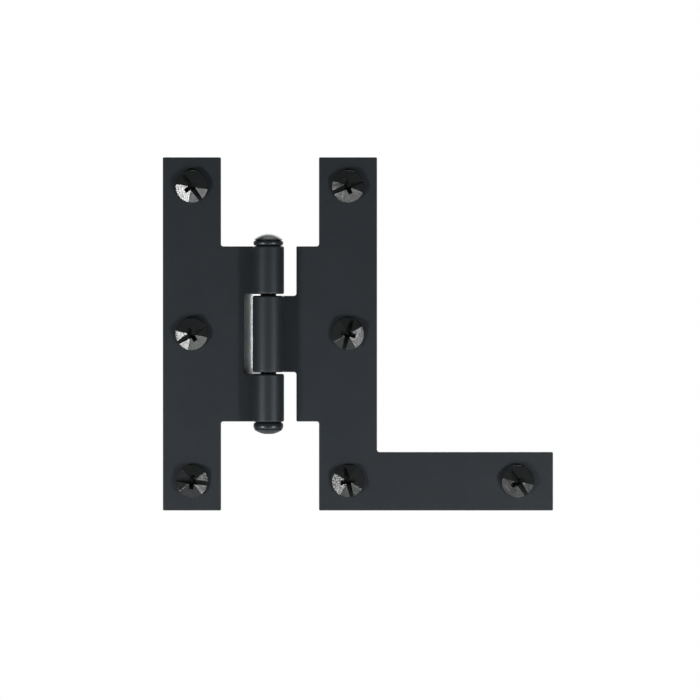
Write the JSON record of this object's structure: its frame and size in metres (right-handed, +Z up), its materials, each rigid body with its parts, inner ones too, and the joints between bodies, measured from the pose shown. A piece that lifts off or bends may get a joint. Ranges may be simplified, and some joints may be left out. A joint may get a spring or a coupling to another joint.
{
  "type": "cabinet hinge",
  "caption": "Black H-L surface hinge for a cabinet door: rolled knuckles round a domed-head pin, a leaf with a foot and pyramid-head wood screws.",
  "frame": {"origin": "centre of the frame leaf's line of screws, on the leaf's back face", "axes": "+X right along the cabinet's face, from the frame leaf to the door leaf's foot; +Y into the cabinet; +Z up"},
  "size_m": [0.0982, 0.022, 0.0888],
  "materials": {
    "leaf_paint": "satin",
    "screw_paint": "gloss"
  },
  "bodies": {
    "frame": {"frame_leaf": "leaf_paint", "hinge_pin": "leaf_paint", "frame_screw_top": "screw_paint", "frame_screw_middle": "screw_paint", "frame_screw_bottom": "screw_paint"},
    "door": {"door_leaf": "leaf_paint", "door_screw_top": "screw_paint", "door_screw_middle": "screw_paint", "door_screw_corner": "screw_paint", "door_screw_foot": "screw_paint"}
  },
  "joints": [
    {"name": "door_swing", "type": "hinge", "parent": "frame", "child": "door", "pos_m": [0.0193, -0.00396, 0], "axis": [0, 0, -1], "range_deg": [0, 170]}
  ]
}
